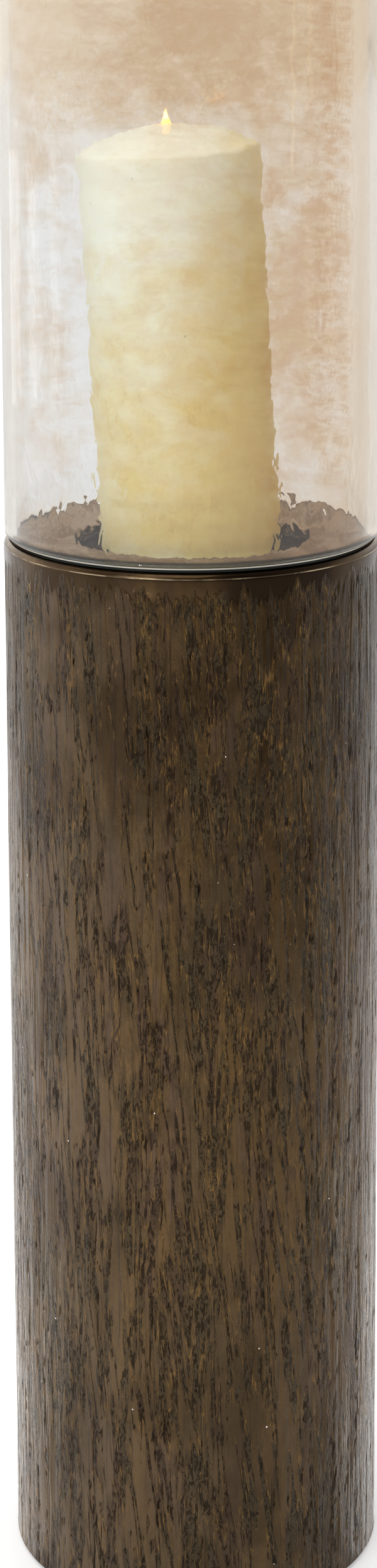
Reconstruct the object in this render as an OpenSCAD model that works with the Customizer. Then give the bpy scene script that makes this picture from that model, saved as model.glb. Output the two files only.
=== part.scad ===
// Hurricane candle lantern: a tall cast column with a dished tray in its top,
// an open glass cylinder that stands on the tray's rim, and a pillar candle
// in the tray's recess. A tie rod through the column draws the tray
// and the heavy foot disc together. Millimetres, +Z up, origin on the floor
// at the middle of the foot.

/* [Column] */
// Outside diameter of the cast column
column_d = 209.4; // [190:0.2:260]
// Height from the floor to the top of the column, under the tray's rim
column_h = 592; // [300:1:700]
// Wall of the casting
column_wall = 5; // [4:0.5:8]
// Radius of the rounded shoulder at the top of the column
shoulder_r = 4.5; // [1:0.5:6]
// Radius of the rounding at the foot of the column
foot_edge_r = 1; // [0.5:0.5:2]
// How far the ledge under the tray reaches in from the wall
ledge_w = 8; // [6:1:12]
// Height of the ledge before it slopes back to the wall
ledge_t = 4; // [3:1:10]

/* [Tray] */
// Thickness of the tray's metal
tray_t = 2; // [1:0.5:2.5]
// How far the tray's rim stands in from the column's outside
tray_inset = 2.4; // [1:0.2:2.6]
// Fall of the dish from its rim to the recess
dish_drop = 2.4; // [1:0.2:6]
// Room around the candle's foot in the recess
recess_room = 15.2; // [10:0.2:18]
// Depth of the recess below the dish
recess_depth = 7.5; // [7:0.5:16]

/* [Glass] */
// How far the glass stands in from the column's outside
glass_inset = 0.5; // [0:0.1:1]
// Height of the glass cylinder
glass_h = 306; // [250:1:400]
// Wall of the glass
glass_wall = 5; // [4:0.5:6]

/* [Candle] */
// Diameter of the candle
candle_d = 101.6; // [76:0.2:104]
// Height of the candle from its foot to the middle of its crowned top
candle_h = 236; // [120:1:240]
// Lean of the candle to the left, in degrees
candle_lean = 3.2; // [0:0.2:3.6]
// Radius of the rounded rim of the candle
candle_rim_r = 4; // [3:1:14]
// Slope of the crowned top where it meets the rim, in degrees
crown_slope = 24; // [6:1:30]
// Diameter of the wick
wick_d = 2.4; // [1.6:0.2:4]
// How far the wick stands above the candle
wick_rise = 4; // [2:1:14]

/* [Foot] */
// Thickness of the cast-iron foot disc
foot_t = 14; // [13:1:30]
// Wall left around the foot disc
foot_wall = 3; // [2:0.5:3.5]
// How far the foot disc lies above the column's lower edge
foot_set = 1; // [0.5:0.5:3]
// Diameter of a felt pad
pad_d = 32; // [20:1:40]
// Thickness of a felt pad
pad_t = 3; // [3:0.5:6]
// How far the felt pads lie in from the edge of the foot disc
pad_inset = 10; // [2:1:30]
// Number of felt pads
pad_count = 4; // [3:1:8]

/* [Tie rod] */
// Diameter of the tie rod
rod_d = 8; // [6:1:10]
// Size of the nuts across their flats
nut_af = 13; // [13:0.5:17]
// Thickness of the nuts
nut_t = 6.5; // [5:0.5:7]
// Diameter of the washer under the foot disc
washer_d = 18; // [17:1:24]
// Thickness of the washer
washer_t = 1.6; // [1:0.2:2]

/* [Clearances] */
// Gap around the foot disc in the column
seat_gap = 0.2; // [0.1:0.05:0.3]
// Gap around the rod and the wick in their holes
bore_gap = 0.05; // [0.02:0.01:0.1]
// Gap around the rod where it passes through the foot disc
rod_clearance = 0.3; // [0.1:0.1:1]
// Gap around the nut and washer in the foot disc's counterbore
tool_gap = 4; // [3:0.5:6]

/* [Hidden] */

// Curves: circles in the plan, and steps of an arc in a profile
$fn = 96;
arc_steps = 8;

// How far the rod runs past the clamp nut, and stops short of the tray
rod_end = 1;

// Column
column_r = column_d / 2;
column_ri = column_r - column_wall;
ledge_r = column_ri - ledge_w;
column_foot_z = pad_t - foot_set;

// Foot disc
foot_seat_r = column_r - foot_wall;
foot_top_z = pad_t + foot_t;
counterbore_r = washer_d / 2 + tool_gap;
counterbore_depth = washer_t + nut_t + 2 * rod_end;
pad_circle_r = foot_seat_r - pad_inset - pad_d / 2;

// Candle
candle_r = candle_d / 2;
crown_edge_r = candle_r - candle_rim_r * (1 - sin(crown_slope));
crown_r = crown_edge_r / sin(crown_slope);
rim_z = candle_h - crown_r * (1 - cos(crown_slope)) - candle_rim_r * cos(crown_slope);
wick_r = wick_d / 2;
bore_angle = acos((wick_r + bore_gap) / crown_r);
candle_buried = candle_r * tan(candle_lean) + 1;

// Tray
tray_r = column_r - tray_inset;
tray_z = column_h + tray_t;
lip_z = tray_z - dish_drop;
recess_r = candle_r + recess_room;
recess_z = lip_z - recess_depth;
lip_r = 3;
fillet_r = 2.5;
dish_edge_r = ledge_r - 1;

// Tie rod and nuts
rod_r = rod_d / 2;
tray_nut_z = recess_z - tray_t - nut_t;
washer_z = pad_t + counterbore_depth - washer_t;
clamp_nut_z = washer_z - nut_t;

// Glass
glass_r = column_r - glass_inset;
glass_edge_r = 0.4 * glass_wall;

// Points of an arc about a centre, from one angle to another
function arc(centre, r, from, to) =
    [for (i = [0 : arc_steps])
        let (a = from + (to - from) * i / arc_steps)
        centre + r * [cos(a), sin(a)]];

// One face of the tray's metal, from its rim to its middle, at a depth t
// below the upper face
function tray_face(t) = concat(
    [[tray_r, tray_z - t], [dish_edge_r, tray_z - t]],
    arc([recess_r + lip_r, lip_z - lip_r], lip_r - t, 90, 180),
    arc([recess_r - fillet_r, recess_z + fillet_r], fillet_r + t, 0, -90),
    [[0, recess_z - t]]
);

// Column: one revolved wall with a rounded shoulder, a ledge for the tray
// and a rebate for the foot disc
module base_shell() {
    color([0.27, 0.21, 0.15])
    rotate_extrude()
    polygon(concat(
        [[foot_seat_r, column_foot_z]],
        arc([column_r - foot_edge_r, column_foot_z + foot_edge_r], foot_edge_r, -90, 0),
        arc([column_r - shoulder_r, column_h - shoulder_r], shoulder_r, 0, 90),
        [
            [ledge_r, column_h],
            [ledge_r, column_h - ledge_t],
            [column_ri, column_h - ledge_t - ledge_w],
            [column_ri, foot_top_z],
            [foot_seat_r, foot_top_z]
        ]
    ));
}

// Tray: spun metal of one thickness, its flat rim laid over the column's top,
// with a sloping dish and a recess
module top_tray() {
    lower = tray_face(tray_t);
    color([0.72, 0.65, 0.57])
    rotate_extrude()
    polygon(concat(
        tray_face(0),
        [for (i = [len(lower) - 1 : -1 : 0]) lower[i]]
    ));
}

// Hex nut standing on z = 0, bored for the rod
module nut() {
    difference() {
        cylinder(h = nut_t, r = nut_af / sqrt(3), $fn = 6);
        translate([0, 0, -1])
        cylinder(h = nut_t + 2, r = rod_r + bore_gap);
    }
}

module tray_nut() {
    color("dimgray")
    translate([0, 0, tray_nut_z])
    nut();
}

module clamp_nut() {
    color("silver")
    translate([0, 0, clamp_nut_z])
    nut();
}

module clamp_washer() {
    color("silver")
    translate([0, 0, washer_z])
    difference() {
        cylinder(h = washer_t, d = washer_d);
        translate([0, 0, -1])
        cylinder(h = washer_t + 2, r = rod_r + rod_clearance);
    }
}

module tie_rod() {
    low = clamp_nut_z - rod_end;
    high = tray_nut_z + nut_t - rod_end;
    color("gray")
    translate([0, 0, low])
    cylinder(h = high - low, r = rod_r);
}

// Foot disc: closes the column, counterbored below for the washer and nut
module foot_disc() {
    color([0.16, 0.15, 0.14])
    difference() {
        translate([0, 0, pad_t])
        cylinder(h = foot_t, r = foot_seat_r - seat_gap);
        translate([0, 0, pad_t - 1])
        cylinder(h = foot_t + 2, r = rod_r + rod_clearance);
        translate([0, 0, pad_t - 1])
        cylinder(h = counterbore_depth + 1, r = counterbore_r);
    }
}

module felt_pads() {
    color([0.12, 0.11, 0.10])
    for (i = [0 : pad_count - 1])
        rotate([0, 0, 360 * i / pad_count])
        translate([pad_circle_r, 0, 0])
        cylinder(h = pad_t, d = pad_d);
}

// Glass: an open cylinder with both edges fire-polished round
module glass_chimney() {
    inner = glass_r - glass_wall;
    color([0.93, 0.86, 0.76, 0.35])
    translate([0, 0, tray_z])
    rotate_extrude()
    polygon(concat(
        arc([glass_r - glass_edge_r, glass_edge_r], glass_edge_r, -90, 0),
        arc([glass_r - glass_edge_r, glass_h - glass_edge_r], glass_edge_r, 0, 90),
        arc([inner + glass_edge_r, glass_h - glass_edge_r], glass_edge_r, 90, 180),
        arc([inner + glass_edge_r, glass_edge_r], glass_edge_r, 180, 270)
    ));
}

// The candle's own axis, which leans to the left from its foot
module leaning() {
    translate([0, 0, recess_z])
    rotate([0, -candle_lean, 0])
    children();
}

// Candle: leaning round body with a rounded rim and a crowned top, its foot
// cut level where it stands in the recess
module candle() {
    color([0.89, 0.83, 0.69])
    difference() {
        leaning()
        rotate_extrude()
        polygon(concat(
            [
                [wick_r + bore_gap, -candle_buried],
                [candle_r, -candle_buried]
            ],
            arc([candle_r - candle_rim_r, rim_z], candle_rim_r, 0, 90 - crown_slope),
            arc([0, candle_h - crown_r], crown_r, 90 - crown_slope, bore_angle)
        ));
        translate([-candle_d, -candle_d, recess_z - candle_d])
        cube([2 * candle_d, 2 * candle_d, candle_d]);
    }
}

module wick() {
    foot = 2;
    color([0.20, 0.16, 0.12])
    leaning()
    translate([0, 0, foot])
    cylinder(h = candle_h + wick_rise - foot, r = wick_r);
}

base_shell();
top_tray();
tray_nut();
tie_rod();
foot_disc();
clamp_washer();
clamp_nut();
felt_pads();
glass_chimney();
candle();
wick();
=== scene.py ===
"""Hurricane candle lantern: bark relief and patina on the column, lustre glass, wax, flame and stage."""

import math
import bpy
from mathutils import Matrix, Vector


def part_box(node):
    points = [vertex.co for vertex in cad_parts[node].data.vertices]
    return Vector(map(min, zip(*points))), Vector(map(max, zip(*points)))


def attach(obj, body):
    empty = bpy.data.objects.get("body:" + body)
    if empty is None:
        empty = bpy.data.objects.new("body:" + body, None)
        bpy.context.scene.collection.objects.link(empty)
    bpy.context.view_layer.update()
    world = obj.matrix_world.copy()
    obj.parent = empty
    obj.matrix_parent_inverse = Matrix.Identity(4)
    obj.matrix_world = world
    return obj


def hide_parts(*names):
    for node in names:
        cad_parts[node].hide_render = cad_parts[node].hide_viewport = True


bl_info = {
    "name": "Hurricane Candle Lantern",
    "version": (1, 0, 0),
    "blender": (4, 5, 0),
    "location": "View3D > Sidebar > Lantern",
    "description": "Dresses the lantern's column, tray, glass and candle, and sets its stage",
    "category": "Object",
}

import bpy
import numpy as np
from bpy.props import FloatProperty, FloatVectorProperty, IntProperty, PointerProperty
from mathutils import Matrix, Vector

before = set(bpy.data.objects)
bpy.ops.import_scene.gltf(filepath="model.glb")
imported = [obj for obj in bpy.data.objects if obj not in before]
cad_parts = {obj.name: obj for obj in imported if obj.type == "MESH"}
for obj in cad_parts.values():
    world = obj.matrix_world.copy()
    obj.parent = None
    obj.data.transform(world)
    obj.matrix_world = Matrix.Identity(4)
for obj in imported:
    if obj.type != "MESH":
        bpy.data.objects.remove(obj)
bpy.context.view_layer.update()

MM = 0.001
TAU = 2 * math.pi

# ---------------------------------------------------------------- the frame's own sizes
SHELL_LOW, SHELL_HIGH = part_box("base_shell")
DISC_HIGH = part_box("foot_disc")[1]
TRAY_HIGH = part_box("top_tray")[1]
GLASS_LOW, GLASS_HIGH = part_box("glass_chimney")
CANDLE_LOW, CANDLE_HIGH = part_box("candle")

COLUMN_R = SHELL_HIGH[1]
COLUMN_FOOT = SHELL_LOW[2]
COLUMN_TOP = SHELL_HIGH[2]
TRAY_R = TRAY_HIGH[0]
TRAY_TOP = TRAY_HIGH[2]
GLASS_R = GLASS_HIGH[1]
GLASS_FOOT = GLASS_LOW[2]
GLASS_TOP = GLASS_HIGH[2]
CANDLE_R = CANDLE_HIGH[1]
CANDLE_FOOT = CANDLE_LOW[2]
CANDLE_TOP = CANDLE_HIGH[2]


# ---------------------------------------------------------------- settings a user would change
def length_setting(name, description, metres):
    """A length that a user may change."""
    return FloatProperty(name=name, description=description, default=metres, unit="LENGTH")


def angle_setting(name, description, degrees):
    """An angle that a user may change."""
    radians = math.radians(degrees)
    return FloatProperty(name=name, description=description, default=radians, unit="ROTATION")


def colour_setting(name, description, colour):
    """A colour that a user may change, in linear light."""
    return FloatVectorProperty(name=name, description=description, default=colour, subtype="COLOR")


def number_setting(name, description, number):
    """A plain number that a user may change."""
    return FloatProperty(name=name, description=description, default=number)


class ColumnSettings(bpy.types.PropertyGroup):
    """Sizes and colours of the cast column."""

    wall: length_setting("Wall", "Wall of the casting", 5 * MM)
    relief: length_setting("Relief", "Depth of the deepest gouges in the bark grain", 1.1 * MM)
    gouges: IntProperty(name="Gouges", description="Strokes tried for the bark grain", default=6500)
    umber: colour_setting("Umber", "Main colour of the patina", (0.114, 0.067, 0.027))
    slate: colour_setting("Slate", "Grey-brown bloom of the patina", (0.093, 0.060, 0.030))
    plum: colour_setting("Plum", "Purple-grey bloom of the patina", (0.102, 0.066, 0.045))
    # Amber is also laid on the furrows' rims as painted highlights.
    amber: colour_setting("Amber", "Warm metal rubbed through", (0.205, 0.114, 0.034))
    pit: colour_setting("Pit", "Blackened floor of the gouges", (0.014, 0.008, 0.004))


class GlassSettings(bpy.types.PropertyGroup):
    """Sizes and colours of the glass cylinder."""

    wall: length_setting("Wall", "Wall of the glass", 5 * MM)
    ripple: length_setting("Ripple", "Depth of the waves in the glass", 0.35 * MM)
    tint: colour_setting("Tint", "Nearly clear glass", (0.870, 0.878, 0.880))
    lustre: colour_setting("Lustre", "Deeper amber patches", (0.752, 0.640, 0.500))
    umber: colour_setting("Umber", "Brown flecks in the lustre", (0.66, 0.48, 0.32))


class CandleSettings(bpy.types.PropertyGroup):
    """Sizes and colours of the candle and its flame."""

    lean: angle_setting("Lean", "Lean to the left", 3.2)
    height: length_setting("Height", "Foot to the middle of the crowned top", 236 * MM)
    rim: length_setting("Rim", "Radius of the rounded rim", 4 * MM)
    slope: angle_setting("Slope", "Slope of the crowned top at its rim", 24)
    wax: colour_setting("Wax", "Ivory wax", (0.89, 0.935, 0.83))
    # Toffee is painted shade: the far right of the wax, away from the key lamp.
    toffee: colour_setting("Toffee", "Wax on the far right", (0.84, 0.65, 0.22))
    # Honey is painted shade on the wax's right side, and also the darker lower body.
    honey: colour_setting("Honey", "Darker wax of the right and lower body", (0.80, 0.67, 0.28))
    flame_height: length_setting("Flame height", "Base of the flame to its tip", 9.5 * MM)
    flame_width: length_setting("Flame width", "Widest part of the flame", 5.2 * MM)
    glow: number_setting("Glow", "Strength of the flame's light", 3.0)


class StageSettings(bpy.types.PropertyGroup):
    """Where the camera stands and how it looks."""

    distance: length_setting("Distance", "Camera to the column's axis", 1.6898)
    height: length_setting("Height", "Camera above the floor", 0.9450)
    tilt: angle_setting("Tilt", "Camera tilt downwards", 9.573)
    roll: angle_setting("Roll", "Camera roll", -0.249)
    lens: number_setting("Lens", "Focal length in millimetres", 71.12)
    shift_x: number_setting("Side shift", "Sideways shift of the lens", -0.0019)
    shift_y: number_setting("Rise", "Vertical shift of the lens", -0.2370)


# ---------------------------------------------------------------- meshes from grids
def grid_mesh(name, points, loop_rows=False, cap_low=None, cap_high=None, attributes=None):
    """A mesh from an array of points, rows by columns by 3. Each column joins the next and the last joins
    the first, so the surface closes round its axis. Rows join likewise where loop_rows is set, and a cap is
    a point that the first or last row is drawn in to. Faces point outwards where rows climb an outer wall
    and columns turn from +X to +Y."""
    rows, cols = points.shape[:2]
    row = np.arange(rows if loop_rows else rows - 1)[:, None]
    col = np.arange(cols)[None, :]
    next_row = (row + 1) % rows
    next_col = (col + 1) % cols
    corners = (row * cols + col, row * cols + next_col, next_row * cols + next_col, next_row * cols + col)
    quads = np.stack(corners, axis=-1).reshape(-1, 4)
    vertices = [points.reshape(-1, 3)]
    total = rows * cols
    fans = []
    ring = np.arange(cols)
    after = (ring + 1) % cols
    for cap, base, turn in ((cap_low, 0, 1), (cap_high, (rows - 1) * cols, -1)):
        if cap is None:
            continue
        vertices.append(np.array([cap], dtype=float))
        middle = np.full(cols, total)
        pair = (base + after, base + ring)[::turn]
        fans.append(np.stack((middle,) + pair, axis=-1))
        total += 1
    fans = np.concatenate(fans) if fans else np.zeros((0, 3), dtype=int)
    corner_list = np.concatenate((quads.ravel(), fans.ravel()))
    starts = np.concatenate((np.arange(len(quads)) * 4, len(quads) * 4 + np.arange(len(fans)) * 3))

    mesh = bpy.data.meshes.new(name)
    mesh.vertices.add(total)
    mesh.vertices.foreach_set("co", np.concatenate(vertices).astype(np.float32).ravel())
    mesh.loops.add(len(corner_list))
    mesh.loops.foreach_set("vertex_index", corner_list.astype(np.int32))
    mesh.polygons.add(len(starts))
    mesh.polygons.foreach_set("loop_start", starts.astype(np.int32))
    mesh.polygons.foreach_set("use_smooth", np.ones(len(starts), dtype=bool))
    mesh.update(calc_edges=True)
    mesh.validate()
    for key, values in (attributes or {}).items():
        layer = mesh.attributes.new(key, "FLOAT", "POINT")
        flat = np.zeros(total, dtype=np.float32)
        flat[: rows * cols] = values.ravel()
        layer.data.foreach_set("value", flat)
    piece = bpy.data.objects.new(name, mesh)
    bpy.context.scene.collection.objects.link(piece)
    return piece


def around(cols):
    """Angles of the columns, once round the axis."""
    return np.arange(cols) * TAU / cols


def turned(radius, height, cols):
    """Points at a radius and a height, each given by row or by row and column, turned round the axis."""
    angle = around(cols)[None, :]
    radius = np.broadcast_to(radius if np.ndim(radius) == 2 else radius[:, None], (len(radius), cols))
    height = np.broadcast_to(height if np.ndim(height) == 2 else height[:, None], (len(height), cols))
    return np.stack((radius * np.cos(angle), radius * np.sin(angle), height), axis=-1)


def smooth(low, high, x):
    """0 below low, 1 above high, and the smoothstep curve 3t² - 2t³ between."""
    t = np.clip((x - low) / (high - low), 0, 1)
    return t * t * (3 - 2 * t)


def lattice_noise(rng, height, angle, cells_up, cells_round, low, high):
    """Smooth noise from -1 to 1 on a cylinder: random values on a lattice of cells_up by cells_round,
    blended by smoothstep weights. height and angle are arrays of one shape, low and high its bounds."""
    values = rng.uniform(-1, 1, (cells_up + 2, cells_round))
    u = np.clip((height - low) / (high - low), 0, 1) * cells_up
    v = (angle / TAU % 1.0) * cells_round
    row = u.astype(int)
    col = v.astype(int) % cells_round
    fu = smooth(0, 1, u - row)
    fv = smooth(0, 1, v - np.floor(v))
    next_col = (col + 1) % cells_round
    lower = values[row, col] * (1 - fv) + values[row, next_col] * fv
    upper = values[row + 1, col] * (1 - fv) + values[row + 1, next_col] * fv
    return lower * (1 - fu) + upper * fu


# ---------------------------------------------------------------- bark relief of the column
# Grid of the column's wall: columns round it, bands up it and rows in a band
BARK_COLS = 1060
BARK_BANDS = 5
BAND_ROWS = 84

SHOULDER_R = 4.5 * MM
FOOT_EDGE_R = 1 * MM
LEDGE_W = 8 * MM
LEDGE_T = 4 * MM

# Plain metal under the shoulder and over the foot, and how the grain fades and frays towards them
SMOOTH_TOP = 7 * MM
FADE_TOP = 9 * MM
FRAY_TOP = 2 * MM
SMOOTH_FOOT = 2 * MM

# Strokes stand in upright chains. Half lengths are in millimetres, each with its share of the strokes.
CHAIN_COUNT = 110
STROKE_HALF_LENGTHS = (1.6, 2.8, 5.5, 15.0)
STROKE_SHARES = (0.40, 0.36, 0.18, 0.06)
STROKE_SHARE_OF_RELIEF = 0.52


def bark_relief(height, angle, settings):
    """Depth below the column's outside, in metres, of the bark grain at a grid of heights and angles.
    Long flutes and finer grain are stretched lattice noise. Pits and cracks are narrow strokes in upright
    chains, which crowd and thin out upwards as a sum of two sines says: each stroke is a parabola along
    its length and a bell curve across it, and takes the deeper of what it crosses."""
    rng = np.random.default_rng(7)
    low, high = COLUMN_FOOT, COLUMN_TOP
    wander = angle + 0.02 * lattice_noise(rng, height, angle, 6, 14, low, high)
    flute = lattice_noise(rng, height, wander, 6, 90, low, high)
    grain = lattice_noise(rng, height, wander, 18, 230, low, high)
    fine = lattice_noise(rng, height, angle, 70, 440, low, high)
    base = 0.36 * (flute * 0.5 + 0.5) ** 1.5 + 0.20 * (grain * 0.5 + 0.5) + 0.06 * (fine * 0.5 + 0.5)

    strokes = np.zeros_like(base)
    rows, cols = base.shape
    step_up = (height[-1, 0] - height[0, 0]) / (rows - 1)
    step_round = TAU / cols
    chains = rng.uniform(0, TAU, CHAIN_COUNT)
    chain_bend = rng.normal(0, 0.010, CHAIN_COUNT)
    for _ in range(settings.gouges):
        chain = rng.integers(CHAIN_COUNT)
        centre_z = low + (high - low) * rng.random() ** 1.25
        crowding = math.sin(centre_z * 47 + chain * 2.4) + 0.6 * math.sin(centre_z * 131 + chain)
        if crowding < rng.uniform(-1.2, 0.6):
            continue
        bend = chain_bend[chain] * math.sin(centre_z * 19 + chain)
        centre_a = chains[chain] + bend + rng.normal(0, 0.0075)
        half_length = rng.choice(STROKE_HALF_LENGTHS, p=STROKE_SHARES) * rng.uniform(0.7, 1.3) * MM
        half_width = rng.uniform(0.42, 0.72) * MM
        slant = rng.normal(0, 0.035)
        depth = rng.uniform(0.30, 1.0)
        row_0 = max(int((centre_z - half_length - height[0, 0]) / step_up), 0)
        row_1 = min(int((centre_z + half_length - height[0, 0]) / step_up) + 2, rows)
        if row_1 <= row_0:
            continue
        reach = int(2.4 * half_width / COLUMN_R / step_round) + 2
        middle = int(centre_a / step_round)
        columns = np.arange(middle - reach, middle + reach + 1) % cols
        along = (height[row_0:row_1, :1] - centre_z) / half_length
        wobble = 0.4 * half_width * np.sin(along * 5 + chain)
        off = (angle[0, columns][None, :] - centre_a + math.pi) % TAU - math.pi
        across = (off * COLUMN_R - slant * along * half_length - wobble) / half_width
        shape = depth * np.clip(1 - along**2, 0, 1) ** 0.6 * np.exp(-(across**2))
        patch = strokes[row_0:row_1, columns]
        strokes[row_0:row_1, columns] = np.maximum(patch, shape)

    fade = smooth(high - SMOOTH_TOP - FADE_TOP, high - SMOOTH_TOP, height + FRAY_TOP * flute)
    edge = smooth(low + FOOT_EDGE_R, low + FOOT_EDGE_R + SMOOTH_FOOT, height)
    window = (1 - fade) * edge
    pits = strokes * window
    return settings.relief * (STROKE_SHARE_OF_RELIEF * pits + base * window), pits


class LANTERN_OT_column(bpy.types.Operator):
    """Column: outer wall with its bark relief in stacked bands, rounded shoulder, foot edge and inside"""

    bl_idname = "lantern.column"
    bl_label = "Column"

    def execute(self, context):
        s = context.scene.lantern_column
        material = bronze_material(s)
        wall_low = COLUMN_FOOT + FOOT_EDGE_R
        wall_high = COLUMN_TOP - SHOULDER_R
        per_band = BAND_ROWS - 1
        heights = np.linspace(wall_low, wall_high, per_band * BARK_BANDS + 1)
        grid_a, grid_z = np.meshgrid(around(BARK_COLS), heights)
        depth, pits = bark_relief(grid_z, grid_a, s)
        inner_r = COLUMN_R - s.wall
        for band in range(BARK_BANDS):
            rows = slice(band * per_band, (band + 1) * per_band + 1)
            below, above = self.ends(band, inner_r, heights[rows])
            below_r, below_z = (self.columns(values) for values in below)
            above_r, above_z = (self.columns(values) for values in above)
            radius = np.concatenate((below_r, COLUMN_R - depth[rows], above_r))
            z = np.concatenate((below_z, grid_z[rows], above_z))
            pit = np.concatenate((0 * below_r, pits[rows], 0 * above_r))
            points = turned(radius, z, BARK_COLS)
            piece = grid_mesh(f"column_bark_{band + 1}", points, loop_rows=True, attributes={"pit": pit})
            piece.data.set_sharp_from_angle(angle=math.radians(70))
            piece.data.materials.append(material)
            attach(piece, "base")
        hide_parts("base_shell")
        return {"FINISHED"}

    @staticmethod
    def columns(values):
        """One value a row, repeated round the column."""
        return np.repeat(np.asarray(values, dtype=float)[:, None], BARK_COLS, axis=1)

    @staticmethod
    def ends(band, inner_r, heights):
        """Radii and heights that close a band below and above its outer wall: the foot's rounded edge and
        rebate on the lowest, the rounded shoulder and the ledge on the highest, a flat cut between."""
        turn = np.radians(np.arange(0, 91, 15))
        if band == 0:
            rebate_r = DISC_HIGH[1]
            step_z = DISC_HIGH[2]
            edge_r = COLUMN_R - FOOT_EDGE_R * (1 - np.sin(turn[:-1]))
            edge_z = COLUMN_FOOT + FOOT_EDGE_R * (1 - np.cos(turn[:-1]))
            below_r = np.concatenate(([inner_r, rebate_r, rebate_r], edge_r))
            below_z = np.concatenate(([step_z, step_z, COLUMN_FOOT], edge_z))
        else:
            below_r = np.array([inner_r])
            below_z = heights[:1]
        if band == BARK_BANDS - 1:
            ledge_r = inner_r - LEDGE_W
            slope_z = COLUMN_TOP - LEDGE_T - LEDGE_W
            shoulder_r = COLUMN_R - SHOULDER_R * (1 - np.cos(turn[1:]))
            shoulder_z = COLUMN_TOP - SHOULDER_R * (1 - np.sin(turn[1:]))
            above_r = np.concatenate((shoulder_r, [ledge_r, ledge_r, inner_r]))
            above_z = np.concatenate((shoulder_z, [COLUMN_TOP, COLUMN_TOP - LEDGE_T, slope_z]))
        else:
            above_r = np.array([inner_r])
            above_z = heights[-1:]
        return (below_r, below_z), (above_r, above_z)


# ---------------------------------------------------------------- shader helpers
class Value:
    """An output of a node that adds, subtracts, multiplies and divides like a number."""

    def __init__(self, nodes, socket):
        self.nodes = nodes
        self.socket = socket

    def __add__(self, other):
        return self.nodes.math("ADD", self, other)

    def __sub__(self, other):
        return self.nodes.math("SUBTRACT", self, other)

    def __rsub__(self, other):
        return self.nodes.math("SUBTRACT", other, self)

    def __mul__(self, other):
        return self.nodes.math("MULTIPLY", self, other)

    def __truediv__(self, other):
        return self.nodes.math("DIVIDE", self, other)

    def __abs__(self):
        return self.nodes.math("ABSOLUTE", self)

    __radd__ = __add__
    __rmul__ = __mul__

    def clamped(self):
        """The same sum, difference or product, kept from 0 to 1."""
        self.socket.node.use_clamp = True
        return self

    def step(self, low, high, bottom=0.0, top=1.0):
        """A smooth step from bottom at low to top at high."""
        inputs = {"Value": self, "From Min": low, "From Max": high, "To Min": bottom, "To Max": top}
        return self.nodes.read(0, "ShaderNodeMapRange", inputs, interpolation_type="SMOOTHSTEP")


class Nodes:
    """Short way to build one material's or one group's nodes. An input takes a number, colour or Value."""

    def __init__(self, tree):
        self.tree = tree

    def put(self, value, socket):
        """Links an output to an input, or sets a plain value on it."""
        if isinstance(value, Value):
            value = value.socket
        if isinstance(value, bpy.types.NodeSocket):
            self.tree.links.new(value, socket)
        else:
            socket.default_value = value

    def add(self, kind, inputs=None, **settings):
        """A node of a kind, with its settings and inputs."""
        node = self.tree.nodes.new(kind)
        for key, value in settings.items():
            setattr(node, key, value)
        for key, value in (inputs or {}).items():
            self.put(value, node.inputs[key])
        return node

    def values(self, kind, inputs=None, **settings):
        """The outputs of a new node by name."""
        node = self.add(kind, inputs, **settings)
        return {output.name: Value(self, output) for output in node.outputs}

    def read(self, output, kind, inputs=None, **settings):
        """One output of a new node."""
        return Value(self, self.add(kind, inputs, **settings).outputs[output])

    def math(self, operation, a, b=0.0):
        return self.read(0, "ShaderNodeMath", {0: a, 1: b}, operation=operation)

    def larger(self, a, b):
        return self.math("MAXIMUM", a, b)

    def vector_math(self, operation, a, b=(0, 0, 0), scale=1.0, output="Vector"):
        return self.read(output, "ShaderNodeVectorMath", {0: a, 1: b, 3: scale}, operation=operation)

    def axes(self, vector):
        """The x, y and z of a vector."""
        return self.values("ShaderNodeSeparateXYZ", {0: vector}).values()

    def joined(self, x, y, z):
        """A vector of an x, a y and a z."""
        return self.read(0, "ShaderNodeCombineXYZ", {0: x, 1: y, 2: z})

    def mapped(self, vector, scale, location=(0, 0, 0)):
        return self.read(0, "ShaderNodeMapping", {"Vector": vector, "Scale": scale, "Location": location})

    def noise(self, vector, scale, detail=3.0, roughness=0.5, distortion=0.0):
        inputs = {"Vector": vector, "Scale": scale, "Detail": detail, "Roughness": roughness}
        return self.read("Fac", "ShaderNodeTexNoise", {**inputs, "Distortion": distortion})

    def tall_noise(self, vector, share, *noise):
        """Noise whose z is first taken down to a share, which draws it out along Z."""
        return self.noise(self.mapped(vector, (1, 1, share)), *noise)

    def mix(self, factor, a, b):
        """Colour a, changed into colour b by a factor."""
        a, b = (colour if isinstance(colour, Value) else (*colour[:3], 1) for colour in (a, b))
        return self.read(2, "ShaderNodeMix", {0: factor, 6: a, 7: b}, data_type="RGBA")

    def bump(self, height, distance, strength=1.0):
        inputs = {"Height": height, "Distance": distance, "Strength": strength}
        return self.read(0, "ShaderNodeBump", inputs)

    def feed(self, shader, **sockets):
        """Puts values on a shader's inputs, named with underscores for spaces."""
        for key, value in sockets.items():
            self.put(value, shader.inputs[key.replace("_", " ")])


def new_material(name):
    """An empty node material: its Nodes helper, Principled shader and output."""
    material = bpy.data.materials.new(name)
    material.use_nodes = True
    material.node_tree.nodes.clear()
    nodes = Nodes(material.node_tree)
    shader = nodes.add("ShaderNodeBsdfPrincipled")
    output = nodes.add("ShaderNodeOutputMaterial", {0: shader.outputs[0]})
    return material, nodes, shader, output


def object_coords(nodes):
    return nodes.read("Object", "ShaderNodeTexCoord")


def group(name):
    """A new node group with a Vector input: its helper and its vector."""
    tree = bpy.data.node_groups.new(name, "ShaderNodeTree")
    tree.interface.new_socket("Vector", in_out="INPUT", socket_type="NodeSocketVector")
    nodes = Nodes(tree)
    return nodes, nodes.read("Vector", "NodeGroupInput")


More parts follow.
